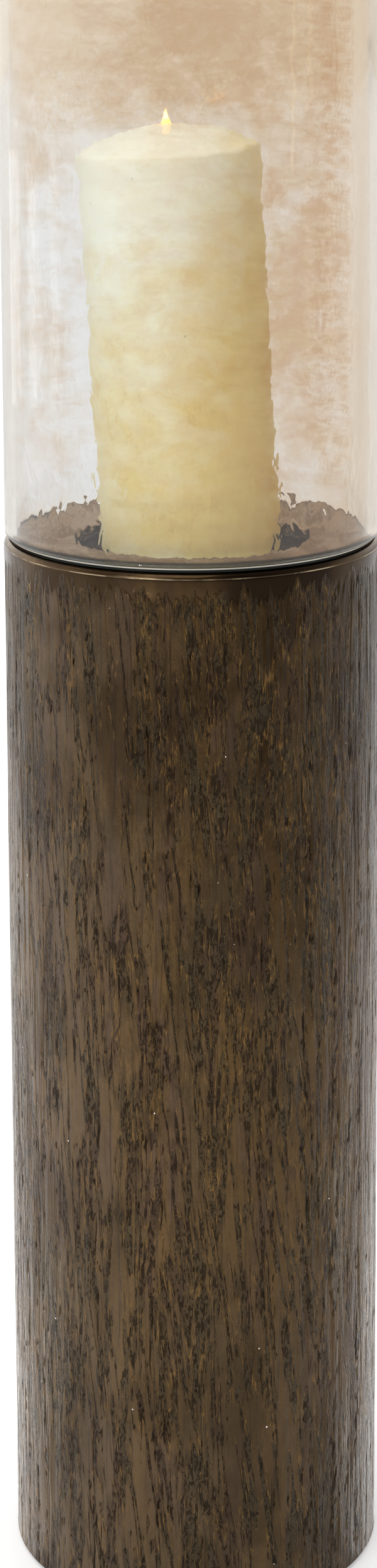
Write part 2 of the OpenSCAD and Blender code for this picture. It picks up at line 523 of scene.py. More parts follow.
def group_tree(nodes, **masks):
    """The tree of a node group, given an output for each named mask."""
    for name in masks:
        nodes.tree.interface.new_socket(name, in_out="OUTPUT", socket_type="NodeSocketFloat")
    nodes.add("NodeGroupOutput", masks)
    return nodes.tree


def placed(nodes, tree, vector):
    """A node group placed in a material and fed with a vector: its outputs."""
    return nodes.values("ShaderNodeGroup", {"Vector": vector}, node_tree=tree)


# ---------------------------------------------------------------- bronze of the column
def bark_group():
    """Node group: masks of the bark grain, from Object coordinates drawn out along Z. Furrow is ribbons
    along the contour lines of long noises, upright and slanting, and Rim the line beside them. Pit is fine
    ragged grain, dense inside the furrows and sparse outside. Streak, Blotch, Bloom and Mottle carry colour,
    Murk is broad dark cloud, a few light dots mark painted glints, and Grit is the finest grain."""
    nodes, vector = group("bark grain")
    x, y, z = nodes.axes(vector)
    slant = nodes.joined(x + z * 0.11, y, z)
    where = nodes.tall_noise(vector, 0.25, 46.0, 2.0, 0.5)
    furrow, rim = 0.0, 0.0
    # Course, scale, share of z, half width, and the two ends of the step in where that lets it in
    upright = (vector, 76.0, 0.110, 0.034, 0.44, 0.53)
    narrow = (vector, 140.0, 0.095, 0.040, 0.54, 0.60)
    slanting = (slant, 90.0, 0.070, 0.030, 0.58, 0.50)
    for course, scale, share, width, low, high in (upright, narrow, slanting):
        away = abs(nodes.tall_noise(course, share, scale, 4.0, 0.62, 0.25) - 0.5)
        let_in = where.step(low, high)
        inside = away.step(width, 0.6 * width) * let_in
        edge = abs(away - 1.25 * width).step(0.35 * width, 0.08 * width)
        furrow = nodes.larger(inside, furrow)
        rim = nodes.larger(edge * let_in, rim)
    pit = nodes.tall_noise(vector, 0.36, 560.0, 4.0, 0.66, 0.9)
    pit = (pit + furrow * 0.20).step(0.70, 0.74)
    streak = nodes.tall_noise(vector, 0.060, 185.0, 2.5, 0.50)
    blotch = nodes.tall_noise(vector, 0.22, 34.0, 4.0, 0.62, 0.5)
    bloom = nodes.noise(nodes.mapped(vector, (1, 1, 0.16), (0.3, 0.1, 0.2)), 52.0, 3.0, 0.6, 0.4)
    mottle = nodes.tall_noise(vector, 0.45, 170.0, 5.0, 0.7, 0.4)
    grit = nodes.tall_noise(vector, 0.60, 1100.0, 3.0, 0.6)
    murk = nodes.tall_noise(vector, 0.70, 17.0, 3.0, 0.55, 0.6)
    cells = nodes.values("ShaderNodeTexVoronoi", {"Vector": vector, "Scale": 230.0})
    chosen = nodes.read(0, "ShaderNodeSeparateColor", {0: cells["Color"]})
    # Painted glints: a few light dots.
    speck = chosen.step(0.986, 0.990) * cells["Distance"].step(0.15, 0.09)
    return group_tree(
        nodes, Pit=pit, Furrow=furrow, Rim=rim, Speck=speck, Streak=streak, Blotch=blotch, Bloom=bloom,
        Mottle=mottle, Murk=murk, Grit=grit,
    )


# Colours laid over the patina: painted reflections, painted light and shade, painted highlights and glints,
# a darker collar, and the furrows' own colours
FOOT_PAINTED_REFLECTION = (0.110, 0.076, 0.046)
LEFT_PAINTED_LIGHT = (0.24, 0.180, 0.125)
CLOUD_AND_SHADE_BROWN = (0.026, 0.014, 0.004)
COLLAR_DARK = (0.040, 0.022, 0.010)
COLLAR_PAINTED_REFLECTION = (0.012, 0.006, 0.002)
SHOULDER_HIGHLIGHT = (0.52, 0.43, 0.30)
OLIVE_FURROW = (0.047, 0.039, 0.024)
PLUM_FURROW = (0.046, 0.027, 0.018)
PAINTED_GLINT = (0.80, 0.76, 0.70)

# The smooth collar at the top of the column: its height, how far its lower edge blends and frays,
# and how far down the shoulder the painted highlight line runs
COLLAR_H = 16 * MM
COLLAR_BLEND = 6 * MM
HIGHLIGHT_DROP = 3.5 * MM


def patina_ground(nodes, grain, s):
    """Umber clouded with slate and plum, rubbed amber along the streaks and mottled darker."""
    colour = nodes.mix(grain["Blotch"].step(0.44, 0.62), s.umber, s.slate)
    colour = nodes.mix(grain["Bloom"].step(0.50, 0.64) * 0.85, colour, s.plum)
    amber = grain["Streak"].step(0.52, 0.70) * grain["Blotch"].step(0.60, 0.44)
    colour = nodes.mix(amber * 0.20, colour, s.amber)
    shade = grain["Mottle"].step(0.58, 0.36) * 0.48
    return nodes.mix(shade, colour, nodes.mix(0.6, s.umber, s.pit))


def patina_painted_light_and_clouds(nodes, grain, side, height, colour):
    """The ground taupe towards the foot in a painted reflection of the white floor, paler on the left in
    painted light, and darker in painted shade near the top and on the right, and in random dark clouds."""
    # Painted reflection: greyer taupe towards the foot, where the column mirrors the white floor.
    foot = height.step(0.60 * COLUMN_TOP, 0.05 * COLUMN_TOP, 0.0, 0.42)
    colour = nodes.mix(foot, colour, FOOT_PAINTED_REFLECTION)
    # Painted light: the column paler on its left, the side the windows light.
    painted_flank = side.step(-0.15 * COLUMN_R, -0.80 * COLUMN_R, 0.0, 0.34)
    colour = nodes.mix(painted_flank, colour, LEFT_PAINTED_LIGHT)
    # Painted shade: darker near the top (less so on the left) and on the right; Murk adds random dark clouds
    # on top of it.
    upper = height.step(0.50 * COLUMN_TOP, 0.90 * COLUMN_TOP, 0.0, 0.38)
    upper = upper * side.step(-0.78 * COLUMN_R, -0.36 * COLUMN_R, 0.55, 1.12)
    right = side.step(0.0, 0.40 * COLUMN_R, 0.0, 0.24)
    murk = grain["Murk"].step(0.45, 0.62, 0.0, 0.38)
    cloud_and_shade = (upper + right + murk).clamped()
    return nodes.mix(cloud_and_shade, colour, CLOUD_AND_SHADE_BROWN)


def patina_collar(nodes, grain, side, height, collar, colour):
    """The collar darkened in clouds, darker still right of the middle in a painted dark reflection, and a
    painted highlight line along its shoulder.
    """
    darkened = collar * grain["Bloom"].step(0.40, 0.60, 0.25, 0.60)
    colour = nodes.mix(darkened, colour, COLLAR_DARK)
    # Painted reflection: a dark reflection in the glossy collar right of the middle.
    painted_pool = side.step(0.08 * COLUMN_R, 0.24 * COLUMN_R) * side.step(0.80 * COLUMN_R, 0.66 * COLUMN_R)
    painted_pool = painted_pool * (collar * 0.9)
    colour = nodes.mix(painted_pool, colour, COLLAR_PAINTED_REFLECTION)
    # Painted highlight: a bright line along the shoulder's rounding.
    shoulder_highlight_line = abs(height - (COLUMN_TOP - HIGHLIGHT_DROP)).step(0.45 * MM, 0.10 * MM, 0.0, 0.75)
    shoulder_highlight_line = shoulder_highlight_line * grain["Blotch"].step(0.40, 0.60, 0.15, 1.0)
    return nodes.mix(shoulder_highlight_line, colour, SHOULDER_HIGHLIGHT)


def bronze_material(s):
    """Antique bronze patina: clouded umber ground with painted light and shade, furrows with rims rubbed
    amber and partly painted as highlights, black pits, a few painted glints, satin lacquer.
    """
    material, nodes, shader, _ = new_material("antique bronze patina")
    place = object_coords(nodes)
    grain = placed(nodes, bark_group(), place)
    side, _, height = nodes.axes(place)
    fray = grain["Streak"].step(0.3, 0.7, -COLLAR_BLEND, COLLAR_BLEND)
    collar_foot = COLUMN_TOP - COLLAR_H
    collar = (height + fray).step(collar_foot, collar_foot + COLLAR_BLEND)
    bark = (1.0 - collar).clamped()
    gouge = nodes.read("Fac", "ShaderNodeAttribute", attribute_name="pit").step(0.30, 0.70)
    pit = grain["Pit"] * bark
    rim = grain["Rim"] * bark
    furrow = grain["Furrow"] * bark
    dark = nodes.larger(pit * 0.76, gouge * 0.84)

    colour = patina_ground(nodes, grain, s)
    colour = patina_painted_light_and_clouds(nodes, grain, side, height, colour)
    colour = patina_collar(nodes, grain, side, height, collar, colour)
    deep = nodes.mix(grain["Bloom"].step(0.46, 0.58), OLIVE_FURROW, PLUM_FURROW)
    colour = nodes.mix(furrow * 0.54, colour, deep)
    # Painted highlight, partly rub-through: amber along the furrows' rims.
    rub_and_highlight = rim * grain["Mottle"].step(0.42, 0.60, 0.10, 0.56)
    colour = nodes.mix(rub_and_highlight, colour, s.amber)
    colour = nodes.mix(dark, colour, s.pit)
    # Painted glints: light dots for the lamp's sparkle on the bark.
    colour = nodes.mix(grain["Speck"] * bark, colour, PAINTED_GLINT)

    rise = grain["Streak"].step(0.36, 0.56) * 0.75 + grain["Grit"] * 0.18
    rise = rise + grain["Mottle"] * 0.30 + rim * 0.25
    rise = rise * bark - pit * 0.45 - furrow * 0.45
    rough = grain["Bloom"].step(0.3, 0.7, 0.26, 0.40) - grain["Grit"].step(0.56, 0.66, 0.0, 0.14)
    rough = rough - collar * 0.14
    metal = 0.94 + dark * 0.06
    nodes.feed(shader, Base_Color=colour, Metallic=metal, Normal=nodes.bump(rise, 1.5 * MM, 1.0))
    nodes.feed(shader, Roughness=rough, Coat_Weight=0.05, Coat_Roughness=0.25)
    return material


# ---------------------------------------------------------------- bronze of the tray
TRAY_PALE = (0.62, 0.51, 0.41)
TRAY_BROWN = (0.36, 0.27, 0.195)
RECESS_WALL_SHADE = (0.15, 0.105, 0.07)
RECESS_FLOOR_SHADE = (0.020, 0.022, 0.024)
SEAT_SHADE = (0.018, 0.021, 0.019)
RIM_HIGHLIGHT = (0.50, 0.47, 0.42)
TRAY_SHEEN = (0.42, 0.36, 0.31, 1)
LIP_DROP = 2.8 * MM


def tray_material():
    """Pale bronze of the tray: satin, clouded brown, made nearly black by painted shade in the recess and
    under the glass, with a painted highlight on its rim's edge.
    """
    material, nodes, shader, _ = new_material("pale satin bronze")
    place = object_coords(nodes)
    patch = nodes.noise(place, 34.0, 5.0, 0.66, 0.8)
    colour = nodes.mix(patch.step(0.36, 0.60), TRAY_PALE, TRAY_BROWN)
    _, _, height = nodes.axes(place)
    lip = TRAY_TOP - LIP_DROP
    # Painted shade: darker down the recess's wall, nearly black on its floor.
    sunk = height.step(lip, lip - 3 * MM)
    colour = nodes.mix(sunk * 0.85, colour, RECESS_WALL_SHADE)
    floor = height.step(lip - 5 * MM, lip - 7 * MM)
    colour = nodes.mix(floor * 0.9, colour, RECESS_FLOOR_SHADE)
    reach = nodes.vector_math("LENGTH", nodes.vector_math("MULTIPLY", place, (1, 1, 0)), output="Value")
    # Painted shade: nearly black where the glass stands on the tray.
    seat = reach.step(GLASS_R - 5.6 * MM, GLASS_R - 4.8 * MM)
    colour = nodes.mix(seat, colour, SEAT_SHADE)
    # Painted highlight: a pale line along the top of the rim's outer edge.
    bright = height.step(TRAY_TOP - 0.9 * MM, TRAY_TOP - 0.5 * MM)
    bright = bright * reach.step(TRAY_R - 0.4 * MM, TRAY_R - 0.2 * MM)
    colour = nodes.mix(bright, colour, RIM_HIGHLIGHT)
    marks = nodes.noise(place, 700.0, 2.0, 0.5)
    nodes.feed(shader, Base_Color=colour, Metallic=0.95, Specular_Tint=TRAY_SHEEN)
    nodes.feed(shader, Roughness=patch.step(0.3, 0.7, 0.34, 0.5))
    nodes.feed(shader, Normal=nodes.bump(marks, 0.1 * MM, 0.5))
    return material


# ---------------------------------------------------------------- lustre glass
def lustre_group():
    """Node group: masks of the glass's lustre, from Object coordinates. Veil is broad cloud, Brush is
    short level strokes, Smear is soft upright runs, Fleck is fine broken specks, Chip is small patches with
    hard edges, and Tile and Hue are two values for each cell of a wobbly mosaic."""
    nodes, vector = group("glass lustre")
    veil = nodes.tall_noise(vector, 0.85, 19.0, 5.0, 0.62, 0.9).step(0.36, 0.62)
    brush = nodes.noise(nodes.mapped(vector, (0.55, 0.55, 1.5)), 42.0, 8.0, 0.70, 0.8)
    brush = brush.step(0.43, 0.57)
    smear = nodes.tall_noise(vector, 0.16, 75.0, 5.0, 0.66, 0.35)
    fleck = nodes.noise(nodes.mapped(vector, (0.7, 0.7, 1.2)), 200.0, 4.0, 0.7, 0.6)
    chip = nodes.noise(nodes.mapped(vector, (0.7, 0.7, 1.3)), 75.0, 3.0, 0.6, 1.2)
    chip = chip.step(0.575, 0.590) - chip.step(0.425, 0.410)
    cloud = nodes.read("Color", "ShaderNodeTexNoise", {"Vector": vector, "Scale": 110.0, "Detail": 4.0})
    wobble = nodes.vector_math("SUBTRACT", cloud, (0.5, 0.5, 0.5))
    wobbly = nodes.vector_math("ADD", vector, nodes.vector_math("SCALE", wobble, scale=0.016))
    mosaic = {"Vector": wobbly, "Scale": 95.0}
    cells = nodes.read("Color", "ShaderNodeTexVoronoi", mosaic, distance="CHEBYCHEV")
    tile, hue, _ = nodes.values("ShaderNodeSeparateColor", {0: cells}).values()
    return group_tree(
        nodes, Veil=veil, Brush=brush, Smear=smear, Fleck=fleck, Chip=chip, Tile=tile, Hue=hue,
    )


# Colours of the lustre besides the settings
ROSY_LUSTRE = (0.745, 0.612, 0.490)
UPPER_LUSTRE = (0.764, 0.665, 0.555)
UPPER_CLEAR = (0.872, 0.825, 0.760)
LOW_PAINTED_REFLECTION = (0.820, 0.742, 0.645)
HIGH_PAINTED_REFLECTION = (0.855, 0.795, 0.725)
GOLD_THREAD = (0.97, 0.87, 0.69)
LEFT_SILHOUETTE_SHADE = (0.715, 0.660, 0.590)
RIGHT_SILHOUETTE_SHADE = (0.690, 0.590, 0.465)
FOOT_SHADE = (0.035, 0.042, 0.040)
LAMP_CLEAR = (0.97, 0.96, 0.94)

# How strongly each mask shifts the depth of the lustre
DRIFT_SHARES = (("Veil", 0.44), ("Brush", 0.30), ("Smear", 0.35), ("Fleck", 0.5), ("Tile", 0.32))

# Gold threads: their place across the glass, and the height over its foot at which each stops
THREADS = ((0.505 * GLASS_R, 200 * MM), (0.590 * GLASS_R, 236 * MM))


def glass_skin(nodes, place):
    """Object coordinates drawn in to the outer face, so that both faces of the wall carry one pattern."""
    flat = nodes.vector_math("MULTIPLY", place, (1, 1, 0))
    round_axis = nodes.vector_math("SCALE", nodes.vector_math("NORMALIZE", flat), scale=GLASS_R)
    x, y, _ = nodes.axes(round_axis)
    _, _, z = nodes.axes(place)
    return nodes.joined(x, y, z)


def lustre_depth(masks, side, level, edge):
    """How deep the lustre is, 0 to 1: deepening to the right, paler past the edge for the painted
    reflection, with a stain above the flame, thin and calm in front of the candle, and thinning towards the
    foot."""
    depth = side.step(-0.75 * GLASS_R, -0.02 * GLASS_R, 0.16, 0.80)
    drift = 0.0
    for name, share in DRIFT_SHARES:
        drift = drift + (masks[name] - 0.5) * share
    drift = (drift - masks["Chip"] * 0.16) * (1.0 - edge * 0.55)
    from_left = side.step(-0.66 * GLASS_R, -0.56 * GLASS_R)
    from_right = side.step(0.40 * GLASS_R, 0.33 * GLASS_R)
    below_flame = level.step(GLASS_FOOT + 232 * MM, GLASS_FOOT + 222 * MM)
    over_wax = from_left * from_right * below_flame
    drift = drift * (1.0 - over_wax * 0.5)
    centre = abs(side).step(0.36 * GLASS_R, 0.10 * GLASS_R)
    stain = centre * level.step(GLASS_FOOT + 236 * MM, GLASS_FOOT + 266 * MM)
    depth = depth + (drift - edge * 0.26) + stain * 0.14 - over_wax * 0.34
    return (depth * level.step(GLASS_FOOT, GLASS_FOOT + 110 * MM, 0.55, 1.0)).clamped()


def lustre_colour(nodes, masks, side, level, edge, s):
    """Clear glass deepened to rosy lustre, with a pale painted reflection past the edge and a flecked band
    beside it at the right.
    """
    rosy = nodes.mix(masks["Hue"].step(0.2, 0.8), s.lustre, ROSY_LUSTRE)
    upper = level.step(GLASS_FOOT + 160 * MM, GLASS_FOOT + 290 * MM)
    rosy = nodes.mix(upper * 0.8, rosy, UPPER_LUSTRE)
    clear = nodes.mix(upper, s.tint, UPPER_CLEAR)
    colour = nodes.mix(lustre_depth(masks, side, level, edge), clear, rosy)
    high = level.step(GLASS_FOOT + 60 * MM, GLASS_FOOT + 270 * MM)
    # Painted reflection: the glass paler past the edge, at the right.
    colour = nodes.mix(edge * 0.6, colour, nodes.mix(high, LOW_PAINTED_REFLECTION, HIGH_PAINTED_REFLECTION))
    band = side.step(0.60 * GLASS_R, 0.68 * GLASS_R) * (1.0 - edge)
    band = band * level.step(GLASS_FOOT + 20 * MM, GLASS_FOOT + 60 * MM)
    fleck = masks["Fleck"].step(0.50, 0.56) * (band * 0.55)
    return nodes.mix(fleck, colour, s.umber), high


def glass_threads(nodes, skin, side, level, front, colour):
    """Two thin gold threads that wander down the front of the glass, right of the candle."""
    wander = nodes.noise(nodes.mapped(skin, (0, 0, 1)), 60.0, 3.0, 0.6)
    wander = (wander - 0.5) * (9 * MM)
    for across, stop in THREADS:
        off = abs(side - wander - across)
        thread = off.step(0.75 * MM, 0.30 * MM, 0.0, 0.55) * front
        thread = thread * level.step(GLASS_FOOT + stop, GLASS_FOOT + stop + 12 * MM)
        colour = nodes.mix(thread, colour, GOLD_THREAD)
    return colour


def glass_material(s):
    """Wavy lustre glass: paler to the left, with a painted reflection in a band at the right, deeper and
    flecked between, toned in painted shade along both silhouettes, and open to lamps so that the candle
    inside is lit."""
    material, nodes, shader, output = new_material("wavy lustre glass")
    place = object_coords(nodes)
    side, back, level = nodes.axes(place)
    skin = glass_skin(nodes, place)
    masks = placed(nodes, lustre_group(), skin)
    front = back.step(-0.15 * GLASS_R, -0.45 * GLASS_R)
    # The edge where the painted reflection begins, at the right.
    edge = side.step(0.795 * GLASS_R, 0.815 * GLASS_R)
    colour, high = lustre_colour(nodes, masks, side, level, edge, s)
    colour = glass_threads(nodes, skin, side, level, front, colour)
    # Painted shade: both silhouettes toned darker and browner, less so high up.
    border = abs(side).step(0.88 * GLASS_R, 0.985 * GLASS_R) * (0.88 - high * 0.48)
    silhouette_shade = nodes.mix(side.step(-0.1 * GLASS_R, 0.1 * GLASS_R), LEFT_SILHOUETTE_SHADE, RIGHT_SILHOUETTE_SHADE)
    colour = nodes.mix(border, colour, silhouette_shade)
    foot = level.step(GLASS_FOOT + 3.1 * MM, GLASS_FOOT + 2.8 * MM) * front
    colour = nodes.mix(foot * 0.92, colour, FOOT_SHADE)
    calm = abs(side).step(0.90 * GLASS_R, 0.72 * GLASS_R, 0.05, 1.0)
    calm = calm * level.step(GLASS_FOOT + 70 * MM, GLASS_FOOT + 40 * MM, 0.3, 1.0)
    ripple = (nodes.tall_noise(place, 0.6, 130.0, 1.5, 0.5, 0.4) - 0.5) * calm
    nodes.feed(shader, Base_Color=colour, Metallic=0.0, Roughness=0.04, IOR=1.5, Transmission_Weight=1.0)
    nodes.feed(shader, Normal=nodes.bump(ripple, 0.7 * MM, 0.8))
    lit = nodes.add("ShaderNodeBsdfTransparent", {"Color": nodes.mix(0.25, LAMP_CLEAR, colour)})
    shadow = nodes.read("Is Shadow Ray", "ShaderNodeLightPath")
    blend = nodes.read(0, "ShaderNodeMixShader", {0: shadow, 1: shader.outputs[0], 2: lit.outputs[0]})
    nodes.put(blend, output.inputs[0])
    return material


# ---------------------------------------------------------------- wax, flame and small parts
AMBER_PATCH = (0.80, 0.61, 0.24)
BROWN_VEIN = (0.62, 0.43, 0.17)
DARK_SPECK = (0.20, 0.13, 0.06)
FLAME_MIRROR = (1.0, 0.72, 0.03)
SCATTER_RADIUS = (1.0, 0.6, 0.3)

# The flame's reflection on the crown: how far in front of the wick and below the crest, and its width
# as a share of its length
MIRROR_FRONT = 22 * MM
MIRROR_DROP = 2.1 * MM
MIRROR_SHARE = 0.27


def wax_material(s):
    """Ivory wax, darker low, with painted shade in warm gold tones on its right side, paler near the top in
    the flame's painted glow, a painted reflection of the flame on the crown, and faint rings and specks.
    """
    material, nodes, shader, _ = new_material("ivory wax")
    place = object_coords(nodes)
    side, _, height = nodes.axes(place)
    low = height.step(CANDLE_TOP - 20 * MM, CANDLE_FOOT + 40 * MM)
    # Painted light: the flame's glow keeps the top of the wax paler.
    cap = height.step(CANDLE_TOP - 80 * MM, CANDLE_TOP - 22 * MM)
    cloud = nodes.noise(nodes.mapped(place, (1, 1, 1.5)), 30.0, 4.0, 0.62, 0.6)
    # Painted shade: the right side, away from the key lamp, darker and warmer.
    right = side.step(-0.50 * CANDLE_R, 0.70 * CANDLE_R) * (0.80 - low * 0.40)
    honey = low * 0.80 + right + cloud.step(0.25, 0.75, -0.28, 0.28)
    honey = (honey - cap * 0.50).clamped()
    colour = nodes.mix(honey, s.wax, s.honey)
    patch = nodes.tall_noise(place, 0.8, 52.0, 5.0, 0.62, 1.0).step(0.50, 0.58, 0.0, 0.5)
    colour = nodes.mix(patch * (low * right), colour, AMBER_PATCH)
    vein = abs(nodes.tall_noise(place, 0.40, 60.0, 5.0, 0.62, 1.2) - 0.5)
    vein = vein.step(0.022, 0.006, 0.0, 0.30) * (low * cloud.step(0.44, 0.56))
    colour = nodes.mix(vein, colour, BROWN_VEIN)
    # Painted shade: the far right in toffee.
    painted_flank = side.step(0.35 * CANDLE_R, 0.95 * CANDLE_R, 0.0, 0.75)
    colour = nodes.mix(painted_flank, colour, s.toffee)
    speck = nodes.noise(place, 210.0, 1.0, 0.5).step(0.80, 0.84)
    colour = nodes.mix(speck * 0.6, colour, DARK_SPECK)
    rings = nodes.noise(nodes.mapped(place, (0.12, 0.12, 1)), 240.0, 3.0, 0.6)
    nodes.feed(shader, Base_Color=colour, Roughness=0.42, Normal=nodes.bump(rings, 0.35 * MM, 0.35))
    nodes.feed(shader, Subsurface_Weight=0.30, Subsurface_Scale=0.010, Subsurface_Radius=SCATTER_RADIUS)
    # Painted reflection: the flame mirrored on the crown, as a glow in the wax's emission.
    crest = candle_place(np.array([0.0, 0.0, s.height]), s)
    centre = (-crest[0], MIRROR_SHARE * MIRROR_FRONT, -MIRROR_SHARE * (crest[2] - MIRROR_DROP))
    spot = nodes.mapped(place, (1, MIRROR_SHARE, MIRROR_SHARE), centre)
    spot = nodes.vector_math("LENGTH", spot, output="Value").step(2.6 * MM, 1.4 * MM)
    nodes.feed(shader, Emission_Color=nodes.mix(spot, (0, 0, 0), FLAME_MIRROR), Emission_Strength=0.22)
    return material


def flame_material(s):
    """Flame: pale in the middle, yellow round its outline, at its base and at the tip."""
    material, nodes, shader, _ = new_material("flame")
    _, _, height = nodes.axes(object_coords(nodes))
    rise = height.step(CANDLE_TOP, CANDLE_TOP + s.flame_height)
    facing = nodes.read("Facing", "ShaderNodeLayerWeight", {"Blend": 0.5})
    colour = nodes.mix(rise, (1.0, 0.78, 0.30), (1.0, 0.66, 0.10))
    colour = nodes.mix(facing.step(0.20, 0.70), colour, (1.0, 0.48, 0.008))
    colour = nodes.mix(rise.step(0.24, 0.10), colour, (1.0, 0.46, 0.004))
    nodes.feed(shader, Base_Color=(1, 0.9, 0.7, 1), Roughness=1.0)
    nodes.feed(shader, Emission_Color=colour, Emission_Strength=s.glow)
    return material


def plain_material(name, base, second, scale, roughness, metallic=0.0, bump=0.1):
    """A two-tone finish broken up by one noise, with a finer one for its bump in millimetres."""
    material, nodes, shader, _ = new_material(name)
    place = object_coords(nodes)
    cloud = nodes.noise(place, scale, 4.0, 0.6)
    grit = nodes.noise(place, scale * 14, 2.0, 0.6)
    colour = nodes.mix(cloud.step(0.35, 0.65), base, second)
    nodes.feed(shader, Base_Color=colour, Metallic=metallic, Normal=nodes.bump(grit, bump * MM, 0.6))
    nodes.feed(shader, Roughness=cloud.step(0.3, 0.7, roughness - 0.08, roughness + 0.08))
    return material


def dress(node, material):
    """Puts one material on a carried-over CAD node."""
    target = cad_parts[node]
    target.data.materials.clear()
    target.data.materials.append(material)


# ---------------------------------------------------------------- operators
ENAMEL = ((0.03, 0.028, 0.026), (0.05, 0.046, 0.04))
FELT = ((0.035, 0.03, 0.027), (0.06, 0.05, 0.045))
ZINC = ((0.60, 0.59, 0.56), (0.48, 0.47, 0.45))
CHAR = ((0.05, 0.035, 0.025), (0.02, 0.015, 0.012))


class LANTERN_OT_metalwork(bpy.types.Operator):
    """Tray, foot disc, felt pads, tie rod, nuts and washer: finishes for the turned and fastened parts"""

    bl_idname = "lantern.metalwork"
    bl_label = "Metalwork"

    def execute(self, context):
        dress("top_tray", tray_material())
        dress("foot_disc", plain_material("black enamel on iron", *ENAMEL, 60, 0.5))
        dress("felt_pads", plain_material("pressed felt", *FELT, 300, 0.92, bump=0.4))
        zinc = plain_material("zinc plate", *ZINC, 220, 0.36, 0.95, 0.05)
        for node in ("tie_rod", "tray_nut", "clamp_nut", "clamp_washer"):
            dress(node, zinc)
        return {"FINISHED"}


GLASS_COLS = 300
GLASS_WALL_ROWS = 118
GLASS_EDGE_ROWS = 8


class LANTERN_OT_glass(bpy.types.Operator):
    """Glass cylinder: hand-worked, wavy inside and out, with both rims fire-polished round"""

    bl_idname = "lantern.glass"
    bl_label = "Glass"

    def execute(self, context):
        s = context.scene.lantern_glass
        edge_r = 0.4 * s.wall
        inner_r = GLASS_R - s.wall
        radius, height = self.section(edge_r, inner_r)
        grid_a, grid_z = np.meshgrid(around(GLASS_COLS), height)
        outer = (np.arange(len(height)) < len(height) // 2)[:, None]
        rng = np.random.default_rng(11)
        waves = np.zeros_like(grid_z)
        for side in (True, False):
            broad = lattice_noise(rng, grid_z, grid_a, 9, 16, GLASS_FOOT, GLASS_TOP)
            tall = lattice_noise(rng, grid_z, grid_a, 7, 32, GLASS_FOOT, GLASS_TOP)
            small = lattice_noise(rng, grid_z, grid_a, 34, 60, GLASS_FOOT, GLASS_TOP)
            field = 0.5 + 0.5 * np.clip(0.5 * broad + 0.35 * tall + 0.25 * small, -1, 1)
            waves = np.where(outer == side, field, waves)
        ease = smooth(GLASS_FOOT + edge_r, GLASS_FOOT + 9 * MM, grid_z)
        ease = ease * (1 - smooth(GLASS_TOP - 12 * MM, GLASS_TOP - edge_r, grid_z))
        ease = ease * (1 - 0.9 * smooth(0.86, 0.98, np.abs(np.cos(grid_a))))
        inward = np.where(outer, -1.0, 1.0)
        grid_r = radius[:, None] + inward * s.ripple * waves * ease
        piece = grid_mesh("glass_cylinder", turned(grid_r, grid_z, GLASS_COLS), loop_rows=True)
        piece.data.materials.append(glass_material(s))
        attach(piece, "glass")
        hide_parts("glass_chimney")
        return {"FINISHED"}

    @staticmethod
    def section(edge_r, inner_r):
        """Radii and heights round the wall: up its outer face and down its inner one, every edge rounded by
        a quarter circle."""
        turn = np.linspace(0, math.pi / 2, GLASS_EDGE_ROWS)[:-1]
        rise = edge_r * (1 - np.cos(turn))
        draw = edge_r * (1 - np.sin(turn))
        wall_z = np.linspace(GLASS_FOOT + edge_r, GLASS_TOP - edge_r, GLASS_WALL_ROWS)
        outside = (GLASS_R - draw, np.full(GLASS_WALL_ROWS, GLASS_R), (GLASS_R - draw)[::-1])
        inside = (inner_r + draw, np.full(GLASS_WALL_ROWS, inner_r), (inner_r + draw)[::-1])
        upward = (GLASS_FOOT + rise, wall_z, (GLASS_TOP - rise)[::-1])
        downward = (GLASS_TOP - rise, wall_z[::-1], (GLASS_FOOT + rise)[::-1])
        return np.concatenate(outside + inside), np.concatenate(upward + downward)


def candle_place(points, s):
    """Points of the upright candle leant to the left about its foot, its foot still cut level: each height
    is first moved by the share of the foot's slope that is left at it."""
    x, y, z = points[..., 0], points[..., 1], points[..., 2]
    along = z - x * np.tan(s.lean) * (1 - z / s.height)
    leant_x = x * np.cos(s.lean) - along * np.sin(s.lean)
    leant_z = x * np.sin(s.lean) + along * np.cos(s.lean)
    return np.stack((leant_x, y, leant_z + CANDLE_FOOT), axis=-1)


CANDLE_COLS = 256
CANDLE_WALL_ROWS = 170
CANDLE_RIM_ROWS = 8
CANDLE_CROWN_ROWS = 39
FOOT_BEVEL = 0.8 * MM


